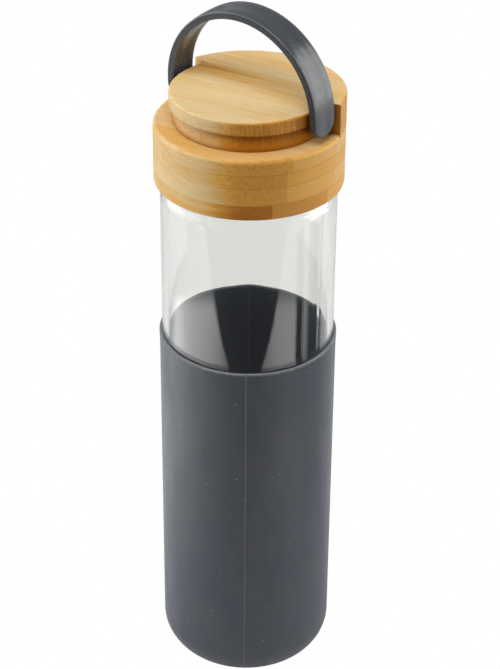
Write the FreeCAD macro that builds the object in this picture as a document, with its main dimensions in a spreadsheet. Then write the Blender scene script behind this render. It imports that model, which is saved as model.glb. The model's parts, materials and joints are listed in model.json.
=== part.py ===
import FreeCAD, Part
import os

import Sketcher

# Glass water bottle: a clear straight-sided bottle in a silicone boot, closed by a
# laminated bamboo screw lid with a strap that folds forward round the lid's step.
# Origin: centre of the base. +Z is up, X is the strap's pivot axis and the strap
# folds towards -Y, the front. Lengths are in millimetres and angles in degrees.

DIMENSIONS = [
    # silicone boot
    ("sleeve_radius", 34.0),
    ("sleeve_height", 149.7),
    ("sleeve_floor", 2.0),
    ("sleeve_corner", 14.1),
    ("sleeve_gap", 0.05),
    ("rim_bead", 0.1),
    ("rim_bead_height", 3.0),
    ("rim_outside_round", 0.5),
    ("rim_inside_round", 0.2),
    ("seam_width", 0.4),
    ("seam_proud", 0.15),
    ("seam_depth", 0.4),
    ("seam_turn", -53.5),
    ("seam_sweep", 60.0),
    ("foot_recess_radius", 13.5),
    ("foot_recess_depth", 0.5),
    # glass
    ("glass_radius", 33.0),
    ("glass_wall", 2.2),
    ("glass_floor", 4.0),
    ("shoulder_height", 214.2),
    ("shoulder_round", 4.6),
    ("shoulder_wall", 2.6),
    ("punt_radius", 14.0),
    ("punt_depth", 2.2),
    ("punt_round", 4.0),
    ("neck_radius", 24.5),
    ("mouth_radius", 22.0),
    ("lip_height", 232.0),
    ("lip_round", 0.9),
    ("neck_root_round", 1.2),
    ("throat_round", 2.0),
    # two-start screw thread between the glass neck and the lid's liner
    ("screw_lead", 12.0),
    ("screw_turns", 0.85),
    ("screw_start", 218.5),
    ("screw_root", 3.2),
    ("screw_crest", 1.6),
    ("screw_depth", 1.4),
    ("ridge_flare", 0.4),
    ("nut_drop", 1.85),
    ("nut_crest_radius", 25.2),
    ("nut_root", 2.4),
    ("nut_crest", 1.0),
    ("thread_bite", 0.4),
    # bamboo lid
    ("lid_radius", 35.3),
    ("lid_bottom", 214.6),
    ("lid_top", 250.0),
    ("ledge_height", 238.0),
    ("cavity_radius", 28.5),
    ("cavity_top", 236.0),
    ("disc_radius", 29.36),
    ("disc_underside", 245.0),
    ("undercut_radius", 27.73),
    ("right_wall_turn", 14.2),
    ("left_wall_turn", 18.3),
    ("lid_bottom_round", 0.95),
    ("lid_edge_round", 0.7),
    ("disc_edge_round", 0.9),
    ("ledge_edge_round", 1.5),
    # liner and gasket
    ("glue_gap", 0.05),
    ("liner_bore", 26.7),
    ("liner_bottom", 214.9),
    ("liner_ceiling", 234.0),
    ("liner_entry_round", 0.4),
    ("gasket_outer", 26.2),
    ("gasket_inner", 20.6),
    ("gasket_gap", 0.05),
    ("gasket_bead", 0.5),
    # strap and its pivots
    ("pivot_height", 247.1),
    ("arch_height", 247.8),
    ("strap_inner", 30.5),
    ("strap_outer", 33.55),
    ("strap_crown", 0.35),
    ("strap_width", 12.0),
    ("strap_bottom", 240.8),
    ("strap_end_round", 5.2),
    ("strap_edge_round", 0.5),
    ("strap_lean", 2.0),
    ("pin_radius", 1.15),
    ("pin_tip", 23.2),
    ("pin_tip_chamfer", 0.4),
    ("pin_head_radius", 2.1),
    ("pin_head_start", 31.4),
    ("pin_head_end", 32.3),
    ("bush_radius", 1.65),
    ("bush_clearance", 0.05),
    ("bush_bottom", 22.2),
    ("bush_end_wall", 0.8),
    ("bush_seat", 29.0),
    ("bush_flange_radius", 2.1),
    ("bush_flange_end", 30.3),
    ("bush_seat_clearance", 0.15),
]

NEAR = 1e-4
UPRIGHT = "XZ_Plane"
SIDEWAYS = "YZ_Plane"


def make_sheet(doc):
    sheet = doc.addObject("Spreadsheet::Sheet", "dims")
    for row, (alias, value) in enumerate(DIMENSIONS, start=1):
        sheet.set(f"A{row}", alias.replace("_", " "))
        sheet.set(f"B{row}", str(value))
        sheet.setAlias(f"B{row}", alias)
    doc.recompute()
    return sheet


def formula(text):
    """Spell each dimension name in a formula as a reference to the sheet."""
    for alias in sorted((name for name, _ in DIMENSIONS), key=len, reverse=True):
        text = text.replace(f"<{alias}>", f"dims.{alias}")
    return text


def value_of(holder, text):
    result = holder.evalExpression(formula(text))
    return float(getattr(result, "Value", result))


def new_body(doc, label):
    body = doc.addObject("PartDesign::Body", label)
    body.Label = label
    return body


def origin_feature(body, role):
    return next(item for item in body.Origin.OriginFeatures if item.Role == role)


def new_sketch(body, name, role, turn=None, shift=None):
    """Sketch on one of the body's own planes; turn swings an upright one about Z."""
    sketch = body.newObject("Sketcher::SketchObject", name)
    sketch.AttachmentSupport = (origin_feature(body, role), [""])
    sketch.MapMode = "FlatFace"
    if turn:
        sketch.AttachmentOffset = FreeCAD.Placement(
            FreeCAD.Vector(), FreeCAD.Rotation(FreeCAD.Vector(0, 1, 0), 1.0))
        sketch.setExpression("AttachmentOffset.Rotation.Angle", formula(turn))
    if shift:
        sketch.setExpression("AttachmentOffset.Base.z", formula(shift))
    return sketch


def pin_point(sketch, geometry, end, x_text, y_text):
    """Fix one end of a line or arc at a place given by two formulas."""
    for kind, axis, text in (("DistanceX", -2, x_text), ("DistanceY", -1, y_text)):
        value = value_of(sketch, text)
        if abs(value) < NEAR:
            sketch.addConstraint(Sketcher.Constraint("PointOnObject", geometry, end, axis))
            continue
        index = sketch.addConstraint(
            Sketcher.Constraint(kind, -1, 1, geometry, end, value))
        sketch.setExpression(f"Constraints[{index}]", formula(text))


def arc_between(start, end, radius, turn):
    """Short arc from start to end; turn is +1 counter-clockwise, -1 clockwise."""
    chord = end - start
    middle = (start + end) * 0.5
    across = FreeCAD.Vector(-chord.y, chord.x, 0).normalize()
    reach = max(radius ** 2 - (chord.Length / 2) ** 2, 0) ** 0.5
    centre = middle + across * (reach * turn)
    bulge = middle - centre
    direction = across * -turn if bulge.Length < NEAR else bulge.normalize()
    return Part.Arc(start, centre + direction * radius, end)


def draw_outline(sketch, corners):
    """Closed outline. A corner is (x, y), or (x, y, radius, turn) where the side
    that leaves it is an arc."""
    places = [FreeCAD.Vector(value_of(sketch, c[0]), value_of(sketch, c[1]), 0)
              for c in corners]
    starts = []
    for i, corner in enumerate(corners):
        here, there = places[i], places[(i + 1) % len(places)]
        if len(corner) == 2:
            index = sketch.addGeometry(Part.LineSegment(here, there), False)
            starts.append((index, 1, 2))
            continue
        radius_text, turn = corner[2:]
        radius = value_of(sketch, radius_text)
        index = sketch.addGeometry(arc_between(here, there, radius, turn), False)
        starts.append((index, 1, 2) if turn > 0 else (index, 2, 1))
    for i, (index, _, end) in enumerate(starts):
        after, first, _ = starts[(i + 1) % len(starts)]
        sketch.addConstraint(Sketcher.Constraint("Coincident", index, end, after, first))
    for (index, first, _), corner in zip(starts, corners):
        pin_point(sketch, index, first, corner[0], corner[1])
        if len(corner) > 2:
            radius = value_of(sketch, corner[2])
            row = sketch.addConstraint(Sketcher.Constraint("Radius", index, radius))
            sketch.setExpression(f"Constraints[{row}]", formula(corner[2]))


def spin(body, name, corners):
    """Solid of revolution about Z from an upright half outline of (radius, height)."""
    sketch = new_sketch(body, name + "_outline", UPRIGHT)
    draw_outline(sketch, corners)
    feature = body.newObject("PartDesign::Revolution", name)
    feature.Profile = sketch
    feature.ReferenceAxis = (sketch, ["V_Axis"])
    feature.Angle = 360
    body.Document.recompute()
    return feature


def spin_cut(body, name, corners, sweep, turn):
    """Cut swept about Z from the plane at azimuth turn, through sweep degrees."""
    before = body.Shape.Volume
    sketch = new_sketch(body, name + "_outline", UPRIGHT, turn=turn)
    draw_outline(sketch, corners)
    feature = body.newObject("PartDesign::Groove", name)
    feature.Profile = sketch
    feature.ReferenceAxis = (sketch, ["V_Axis"])
    feature.setExpression("Angle", formula(sweep))
    body.Document.recompute()
    confirm_cut(body, before, name)
    return feature


def pivot_line(sketch):
    """Construction line along X through the strap's pivot height."""
    line = Part.LineSegment(FreeCAD.Vector(0, 0, 0), FreeCAD.Vector(40, 0, 0))
    index = sketch.addGeometry(line, True)
    pin_point(sketch, index, 1, "0", "<pivot_height>")
    pin_point(sketch, index, 2, "<strap_outer>", "<pivot_height>")
    return index


def pivot_outline(body, name, profile):
    """Outline of (distance along X, radius from the pivot axis) pairs."""
    sketch = new_sketch(body, name + "_outline", UPRIGHT)
    draw_outline(sketch, [(x, f"<pivot_height> + ({radius})") for x, radius in profile])
    pivot_line(sketch)
    return sketch


def pivot_spin(body, name, profile, kind="PartDesign::Revolution"):
    sketch = pivot_outline(body, name, profile)
    feature = body.newObject(kind, name)
    feature.Profile = sketch
    feature.ReferenceAxis = (sketch, ["Axis0"])
    feature.Angle = 360
    body.Document.recompute()
    return feature


def mirror_across(body, name, features):
    """Repeat features on the other side of the lid's middle plane."""
    mirrored = body.newObject("PartDesign::Mirrored", name)
    mirrored.Originals = features
    mirrored.MirrorPlane = (origin_feature(body, SIDEWAYS), [""])
    body.Tip = mirrored
    body.Document.recompute()
    return mirrored


def confirm_cut(body, before, name):
    if not body.Shape.Volume < before - NEAR:
        raise RuntimeError(f"{name} removed nothing from {body.Label}")


def round_edges(body, name, radius_text, wanted):
    """Fillet every edge of the body for which wanted(edge) is true."""
    edges = [f"Edge{i}" for i, edge in enumerate(body.Shape.Edges, start=1) if wanted(edge)]
    if not edges:
        raise RuntimeError(f"{name} found no edges on {body.Label}")
    solid = body.Tip
    fillet = body.newObject("PartDesign::Fillet", name)
    fillet.Base = (solid, edges)
    fillet.setExpression("Radius", formula(radius_text))
    body.Tip = fillet
    body.Document.recompute()
    return fillet


def ring_at(radius, height):
    """Test for a circular edge about Z, whole or part, at one radius and height."""
    def wanted(edge):
        curve = edge.Curve
        return (isinstance(curve, Part.Circle) and abs(curve.Radius - radius) < 1e-3
                and abs(curve.Center.z - height) < 1e-3 and abs(curve.Center.x) < 1e-3)
    return wanted


def round_ring(body, name, round_text, radius_text, height_text):
    radius = value_of(body, radius_text)
    height = value_of(body, height_text)
    return round_edges(body, name, round_text, ring_at(radius, height))


def add_ridge(body, name, side, inner, outer, widths, start_text):
    """One start of a right-hand screw ridge, beginning on the +X or -X side.
    inner and outer are radii, widths the ridge's height at each of them."""
    sketch = new_sketch(body, name + "_section", UPRIGHT)
    sign = "1" if side > 0 else "-1"
    draw_outline(sketch, [
        (f"{sign} * ({inner})", f"{start_text} - {widths[0]} / 2"),
        (f"{sign} * ({outer})", f"{start_text} - {widths[1]} / 2"),
        (f"{sign} * ({outer})", f"{start_text} + {widths[1]} / 2"),
        (f"{sign} * ({inner})", f"{start_text} + {widths[0]} / 2"),
    ])
    helix = body.newObject("PartDesign::AdditiveHelix", name)
    helix.Profile = sketch
    helix.ReferenceAxis = (sketch, ["V_Axis"])
    helix.Mode = 1
    helix.setExpression("Pitch", formula("<screw_lead>"))
    helix.setExpression("Turns", formula("<screw_turns>"))
    helix.LeftHanded = False
    helix.Reversed = False
    body.Tip = helix
    body.Document.recompute()
    return helix


def make_glass_bottle(doc):
    body = new_body(doc, "glass_bottle")
    foot = "<sleeve_floor> + <sleeve_gap>"
    spin(body, "blown_shape", [
        ("0", f"{foot} + <punt_depth>"),
        ("<punt_radius>", foot),
        ("<glass_radius>", foot),
        ("<glass_radius>", "<shoulder_height>"),
        ("<neck_radius>", "<shoulder_height>"),
        ("<neck_radius>", "<lip_height>"),
        ("<mouth_radius>", "<lip_height>"),
        ("<mouth_radius>", "<shoulder_height> - <shoulder_wall>"),
        ("<glass_radius> - <glass_wall>", "<shoulder_height> - <shoulder_wall>"),
        ("<glass_radius> - <glass_wall>", f"{foot} + <glass_floor>"),
        ("0", f"{foot} + <glass_floor> + <punt_depth> / 2"),
    ])
    outer_corner = "<sleeve_corner> - <sleeve_radius> + <glass_radius>"
    round_ring(body, "foot_round", outer_corner, "<glass_radius>", foot)
    round_ring(body, "inner_foot_round", f"{outer_corner} - <glass_wall>",
               "<glass_radius> - <glass_wall>", f"{foot} + <glass_floor>")
    round_ring(body, "punt_rounding", "<punt_round>", "<punt_radius>", foot)
    round_ring(body, "shoulder_outside", "<shoulder_round>",
               "<glass_radius>", "<shoulder_height>")
    round_ring(body, "shoulder_inside", "<shoulder_round> - 1",
               "<glass_radius> - <glass_wall>", "<shoulder_height> - <shoulder_wall>")
    round_ring(body, "neck_root", "<neck_root_round>", "<neck_radius>", "<shoulder_height>")
    round_ring(body, "throat", "<throat_round>",
               "<mouth_radius>", "<shoulder_height> - <shoulder_wall>")
    round_ring(body, "lip_outside", "<lip_round>", "<neck_radius>", "<lip_height>")
    round_ring(body, "lip_inside", "<lip_round>", "<mouth_radius>", "<lip_height>")
    for side, name in ((1, "screw_first"), (-1, "screw_second")):
        add_ridge(body, name, side, "<neck_radius> - <thread_bite>",
                  "<neck_radius> + <screw_depth>",
                  ("(<screw_root> + <ridge_flare>)", "<screw_crest>"), "<screw_start>")
    return body


def add_seam(body, name, turn):
    """Raised mould seam up the side and round the base corner, at azimuth turn."""
    sketch = new_sketch(body, name + "_outline", UPRIGHT, turn=turn)
    centre = "<sleeve_radius> - <sleeve_corner>"
    outside = "(<sleeve_corner> + <seam_proud>)"
    inside = "(<sleeve_corner> - <seam_depth>)"
    top = "<sleeve_height> - <rim_bead_height> / 2"
    along = "cos(<seam_sweep> * 1 deg)"
    down = "sin(<seam_sweep> * 1 deg)"
    draw_outline(sketch, [
        (f"{centre} + {inside}", top),
        (f"{centre} + {inside}", "<sleeve_corner>", inside, -1),
        (f"{centre} + {inside} * {along}", f"<sleeve_corner> - {inside} * {down}"),
        (f"{centre} + {outside} * {along}", f"<sleeve_corner> - {outside} * {down}",
         outside, 1),
        (f"{centre} + {outside}", "<sleeve_corner>"),
        (f"{centre} + {outside}", top),
    ])
    pad = body.newObject("PartDesign::Pad", name)
    pad.Profile = sketch
    pad.setExpression("Length", formula("<seam_width>"))
    pad.SideType = "Symmetric"
    body.Document.recompute()
    return pad


def make_silicone_sleeve(doc):
    body = new_body(doc, "silicone_sleeve")
    wall_inside = "<glass_radius> + <sleeve_gap>"
    bead = "<sleeve_radius> + <rim_bead>"
    spin(body, "boot", [
        ("0", "<foot_recess_depth>"),
        ("<foot_recess_radius>", "<foot_recess_depth>"),
        ("<foot_recess_radius>", "0"),
        ("<sleeve_radius>", "0"),
        ("<sleeve_radius>", "<sleeve_height> - <rim_bead_height>"),
        (bead, "<sleeve_height> - <rim_bead_height> * 0.7"),
        (bead, "<sleeve_height>"),
        (wall_inside, "<sleeve_height>"),
        (wall_inside, "<sleeve_floor>"),
        ("0", "<sleeve_floor>"),
    ])
    round_ring(body, "base_round", "<sleeve_corner>", "<sleeve_radius>", "0")
    round_ring(body, "inner_base_round",
               "<sleeve_corner> - <sleeve_radius> + <glass_radius> + <sleeve_gap>",
               wall_inside, "<sleeve_floor>")
    round_ring(body, "rim_outside", "<rim_outside_round>", bead, "<sleeve_height>")
    round_ring(body, "rim_inside", "<rim_inside_round>", wall_inside, "<sleeve_height>")
    add_seam(body, "seam_front", "<seam_turn>")
    add_seam(body, "seam_back", "<seam_turn> + 180")
    return body


def make_bamboo_lid(doc):
    body = new_body(doc, "bamboo_lid")
    spin(body, "turned_block", [
        ("<cavity_radius>", "<lid_bottom>"),
        ("<lid_radius>", "<lid_bottom>"),
        ("<lid_radius>", "<lid_top>"),
        ("0", "<lid_top>"),
        ("0", "<cavity_top>"),
        ("<cavity_radius>", "<cavity_top>"),
    ])
    round_ring(body, "bottom_round", "<lid_bottom_round>", "<lid_radius>", "<lid_bottom>")
    round_ring(body, "top_round", "<lid_edge_round>", "<lid_radius>", "<lid_top>")
    past_edge = "<lid_radius> + 2"
    sweep = ("180 + <left_wall_turn> + <right_wall_turn>", "180 - <left_wall_turn>")
    spin_cut(body, "front_step", [
        ("<disc_radius>", "<ledge_height>"),
        (past_edge, "<ledge_height>"),
        (past_edge, "<lid_top> + 1"),
        ("<disc_radius>", "<lid_top> + 1"),
    ], *sweep)
    spin_cut(body, "front_undercut", [
        ("<undercut_radius>", "<ledge_height>"),
        ("<disc_radius> + 1", "<ledge_height>"),
        ("<disc_radius> + 1", "<disc_underside>"),
        ("<undercut_radius>", "<disc_underside>"),
    ], *sweep)
    cut_pivot_seats(body)
    soften_step_edges(body)
    return body


def cut_pivot_seats(body):
    """Blind hole for each bush, with a flat seat for its flange."""
    before = body.Shape.Volume
    seat = pivot_spin(body, "bush_seat", [
        ("<bush_seat>", "0"),
        ("<strap_outer>", "0"),
        ("<strap_outer>", "<bush_flange_radius> + <bush_seat_clearance>"),
        ("<bush_seat>", "<bush_flange_radius> + <bush_seat_clearance>"),
    ], "PartDesign::Groove")
    hole = pivot_spin(body, "bush_hole", [
        ("<bush_bottom>", "0"),
        ("<strap_outer>", "0"),
        ("<strap_outer>", "<bush_radius>"),
        ("<bush_bottom>", "<bush_radius>"),
    ], "PartDesign::Groove")
    confirm_cut(body, before, "bush_hole")
    mirror_across(body, "other_bush", [seat, hole])


def soften_step_edges(body):
    """Round the step's two exposed rims: the disc's and the ledge's."""
    disc = ring_at(value_of(body, "<disc_radius>"), value_of(body, "<lid_top>"))
    ledge = ring_at(value_of(body, "<lid_radius>"), value_of(body, "<ledge_height>"))
    round_edges(body, "disc_rounds", "<disc_edge_round>", disc)
    round_edges(body, "ledge_rounds", "<ledge_edge_round>", ledge)


def make_thread_liner(doc):
    body = new_body(doc, "thread_liner")
    outside = "<cavity_radius> - <glue_gap>"
    roof = "<cavity_top> - <glue_gap>"
    spin(body, "liner_cup", [
        ("<liner_bore>", "<liner_bottom>"),
        (outside, "<liner_bottom>"),
        (outside, roof),
        ("0", roof),
        ("0", "<liner_ceiling>"),
        ("<liner_bore>", "<liner_ceiling>"),
    ])
    round_ring(body, "entry_round", "<liner_entry_round>", "<liner_bore>", "<liner_bottom>")
    for side, name in ((1, "nut_first"), (-1, "nut_second")):
        add_ridge(body, name, side, "<nut_crest_radius>", "<liner_bore> + <thread_bite>",
                  ("<nut_crest>", "(<nut_root> + <ridge_flare>)"), "<screw_start> - <nut_drop>")
    return body


def make_seal_gasket(doc):
    body = new_body(doc, "seal_gasket")
    spin(body, "ring", [
        ("<gasket_inner>", "<lip_height> + <gasket_gap>"),
        ("<gasket_outer>", "<lip_height> + <gasket_gap>"),
        ("<gasket_outer>", "<liner_ceiling> - <gasket_gap>"),
        ("<gasket_inner>", "<liner_ceiling> - <gasket_gap>"),
    ])
    for radius in ("<gasket_inner>", "<gasket_outer>"):
        for height in ("<lip_height> + <gasket_gap>", "<liner_ceiling> - <gasket_gap>"):
            round_ring(body, "bead", "<gasket_bead>", radius, height)
    return body


def strap_path(body):
    """Centre line of the strap's inner face: up one leg, over the arch, down."""
    sketch = new_sketch(body, "arch_line", UPRIGHT)
    inner = value_of(body, "<strap_inner>")
    bottom = value_of(body, "<strap_bottom>")
    spring = value_of(body, "<arch_height>")
    left_foot = FreeCAD.Vector(-inner, bottom, 0)
    left_top = FreeCAD.Vector(-inner, spring, 0)
    right_top = FreeCAD.Vector(inner, spring, 0)
    right_foot = FreeCAD.Vector(inner, bottom, 0)
    crown = FreeCAD.Vector(0, spring + inner, 0)
    right = sketch.addGeometry(Part.LineSegment(right_foot, right_top), False)
    arch = sketch.addGeometry(Part.Arc(right_top, crown, left_top), False)
    left = sketch.addGeometry(Part.LineSegment(left_top, left_foot), False)
    sketch.addConstraint(Sketcher.Constraint("Coincident", right, 2, arch, 1))
    sketch.addConstraint(Sketcher.Constraint("Coincident", arch, 2, left, 1))
    pin_point(sketch, right, 1, "<strap_inner>", "<strap_bottom>")
    pin_point(sketch, right, 2, "<strap_inner>", "<arch_height>")
    pin_point(sketch, left, 1, "-1 * <strap_inner>", "<arch_height>")
    pin_point(sketch, left, 2, "-1 * <strap_inner>", "<strap_bottom>")
    centre = sketch.addConstraint(Sketcher.Constraint("DistanceY", -1, 1, arch, 3, spring))
    sketch.setExpression(f"Constraints[{centre}]", formula("<arch_height>"))
    return sketch


def strap_section(body):
    """Flat inside, slightly crowned outside, drawn at the foot of the right leg."""
    sketch = new_sketch(body, "strap_section", "XY_Plane", shift="<strap_bottom>")
    half = "<strap_width> / 2"
    shoulder = "<strap_outer> - <strap_crown>"
    crown_radius = "((<strap_width> / 2) ^ 2 + <strap_crown> ^ 2) / (2 * <strap_crown>)"
    draw_outline(sketch, [
        ("<strap_inner>", f"-1 * ({half})"),
        (shoulder, f"-1 * ({half})", crown_radius, 1),
        (shoulder, half),
        ("<strap_inner>", half),
    ])
    return sketch


def make_carry_strap(doc):
    body = new_body(doc, "carry_strap")
    path = strap_path(body)
    pipe = body.newObject("PartDesign::AdditivePipe", "bent_strip")
    pipe.Profile = strap_section(body)
    pipe.Spine = path
    doc.recompute()
    round_edges(body, "end_rounds", "<strap_end_round>", foot_corners(body))
    round_edges(body, "edge_rounds", "<strap_edge_round>", outline_edges(body))
    before = body.Shape.Volume
    pocket = pivot_spin(body, "pin_pocket", [
        ("<strap_inner> - 1", "0"),
        ("<pin_head_end>", "0"),
        ("<pin_head_end>", "<pin_head_radius>"),
        ("<pin_head_start>", "<pin_head_radius>"),
        ("<pin_head_start>", "<pin_radius>"),
        ("<strap_inner> - 1", "<pin_radius>"),
    ], "PartDesign::Groove")
    confirm_cut(body, before, "pin_pocket")
    mirror_across(body, "other_pocket", [pocket])
    lean_strap(body)
    return body


def spread(edge):
    """How far an edge's ends are apart along Y and along Z."""
    first, last = edge.Vertexes[0], edge.Vertexes[-1]
    return abs(first.Y - last.Y), abs(first.Z - last.Z)


def foot_corners(body):
    """Test for the short edges across the strap's thickness at its feet."""
    bottom = value_of(body, "<strap_bottom>")

    def wanted(edge):
        at_foot = all(abs(vertex.Z - bottom) < NEAR for vertex in edge.Vertexes)
        return at_foot and max(spread(edge)) < NEAR
    return wanted


def outline_edges(body):
    """Test for the edges round the strap's inner and outer faces."""
    width = value_of(body, "<strap_width>")
    thickness = value_of(body, "<strap_outer> - <strap_inner>")

    def wanted(edge):
        crosses_strap = abs(spread(edge)[0] - width) < NEAR
        through_strap = max(spread(edge)) < NEAR and edge.Length < thickness + NEAR
        return not crosses_strap and not through_strap
    return wanted


def lean_strap(body):
    """Tip the strap a little to the front about its pivots."""
    body.Placement = FreeCAD.Placement(
        FreeCAD.Vector(), FreeCAD.Rotation(FreeCAD.Vector(1, 0, 0), 1.0))
    body.setExpression("Placement.Rotation.Angle", formula("<strap_lean>"))
    body.setExpression("Placement.Base.y",
                       formula("<pivot_height> * sin(<strap_lean> * 1 deg)"))
    body.setExpression("Placement.Base.z",
                       formula("<pivot_height> * (1 - cos(<strap_lean> * 1 deg))"))


def to_left_side(body):
    """Turn a piece built on the right round to the left pivot."""
    body.Placement = FreeCAD.Placement(
        FreeCAD.Vector(), FreeCAD.Rotation(FreeCAD.Vector(0, 0, 1), 180))


def make_pivot_pin(doc, label):
    body = new_body(doc, label)
    pivot_spin(body, "headed_pin", [
        ("<pin_tip>", "0"),
        ("<pin_head_end>", "0"),
        ("<pin_head_end>", "<pin_head_radius>"),
        ("<pin_head_start>", "<pin_head_radius>"),
        ("<pin_head_start>", "<pin_radius>"),
        ("<pin_tip> + <pin_tip_chamfer>", "<pin_radius>"),
        ("<pin_tip>", "<pin_radius> - <pin_tip_chamfer>"),
    ])
    return body


def make_pivot_bush(doc, label):
    body = new_body(doc, label)
    bore = "<pin_radius> + <bush_clearance>"
    pivot_spin(body, "flanged_bush", [
        ("<bush_bottom>", "0"),
        ("<bush_bottom> + <bush_end_wall>", "0"),
        ("<bush_bottom> + <bush_end_wall>", bore),
        ("<bush_flange_end>", bore),
        ("<bush_flange_end>", "<bush_flange_radius>"),
        ("<bush_seat>", "<bush_flange_radius>"),
        ("<bush_seat>", "<bush_radius>"),
        ("<bush_bottom>", "<bush_radius>"),
    ])
    return body


def check_document(doc):
    for item in doc.Objects:
        if "Invalid" in item.State or "Error" in item.State:
            raise RuntimeError(f"{item.Label} failed: {item.State}")


def check_piece(body):
    shape = body.Shape
    if shape.isNull() or not shape.isValid() or len(shape.Solids) != 1:
        raise RuntimeError(f"{body.Label} is not one valid solid")
    if shape.Volume <= 0:
        raise RuntimeError(f"{body.Label} has no volume")


def main():
    doc = FreeCAD.newDocument("glass_water_bottle")
    make_sheet(doc)
    pieces = [
        make_glass_bottle(doc),
        make_silicone_sleeve(doc),
        make_bamboo_lid(doc),
        make_thread_liner(doc),
        make_seal_gasket(doc),
        make_carry_strap(doc),
    ]
    for side in ("right", "left"):
        pin = make_pivot_pin(doc, f"pivot_pin_{side}")
        bush = make_pivot_bush(doc, f"pivot_bush_{side}")
        if side == "left":
            to_left_side(pin)
            to_left_side(bush)
        pieces += [pin, bush]
    doc.recompute()
    check_document(doc)
    os.makedirs("parts", exist_ok=True)
    for piece in pieces:
        check_piece(piece)
        piece.Shape.exportStep(f"parts/{piece.Label}.step")


main()
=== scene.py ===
import json
import math

import bmesh
import bpy
from mathutils import Matrix, Vector


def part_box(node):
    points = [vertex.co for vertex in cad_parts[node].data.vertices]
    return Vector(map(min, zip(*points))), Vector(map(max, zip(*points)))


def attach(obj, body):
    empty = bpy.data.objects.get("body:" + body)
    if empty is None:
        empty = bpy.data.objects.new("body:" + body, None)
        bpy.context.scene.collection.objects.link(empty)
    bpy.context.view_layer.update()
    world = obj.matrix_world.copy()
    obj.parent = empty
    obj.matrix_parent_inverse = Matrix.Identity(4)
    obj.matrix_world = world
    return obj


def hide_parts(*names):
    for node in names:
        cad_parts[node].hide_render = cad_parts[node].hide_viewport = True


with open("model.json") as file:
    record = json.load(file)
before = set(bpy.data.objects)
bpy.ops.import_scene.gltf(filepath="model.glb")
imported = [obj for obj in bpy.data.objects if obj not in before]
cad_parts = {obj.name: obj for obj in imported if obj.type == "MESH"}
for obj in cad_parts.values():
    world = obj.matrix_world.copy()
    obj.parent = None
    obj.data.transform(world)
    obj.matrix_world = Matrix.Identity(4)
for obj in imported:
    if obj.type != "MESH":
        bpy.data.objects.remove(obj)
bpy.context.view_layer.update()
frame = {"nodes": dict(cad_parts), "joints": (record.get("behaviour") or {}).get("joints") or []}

MM = 0.001  # metres in a millimetre

# ---------------------------------------------------------------- viewpoint
CAMERA_AZIMUTH = 36.5       # degrees round from the front, towards +X
CAMERA_REACH = 671.21 * MM  # level distance from the bottle's axis
CAMERA_HEIGHT = 553.97 * MM
CAMERA_PITCH = 31.2748      # degrees below the horizon
CAMERA_YAW = 0.0717         # degrees to the right of the bottle's axis
CAMERA_ROLL = 0.4545        # degrees, with its right side raised
CAMERA_LENS = 109.09        # millimetres, as is the sensor's width
CAMERA_SENSOR = 36.0

# the studio's own axes: across the picture, towards the camera, and up
_turn = math.radians(CAMERA_AZIMUTH)
ACROSS = Vector((math.cos(_turn), math.sin(_turn), 0))
TOWARDS = Vector((math.sin(_turn), -math.cos(_turn), 0))
UP = Vector((0, 0, 1))


def studio(across, towards, up):
    """A place given in the studio's axes, in metres."""
    return ACROSS * across + TOWARDS * towards + UP * up


def round_from_camera(turn):
    """Level direction, in degrees round from the side that faces the camera."""
    angle = math.radians(turn)
    return TOWARDS * math.cos(angle) + ACROSS * math.sin(angle)


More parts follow.
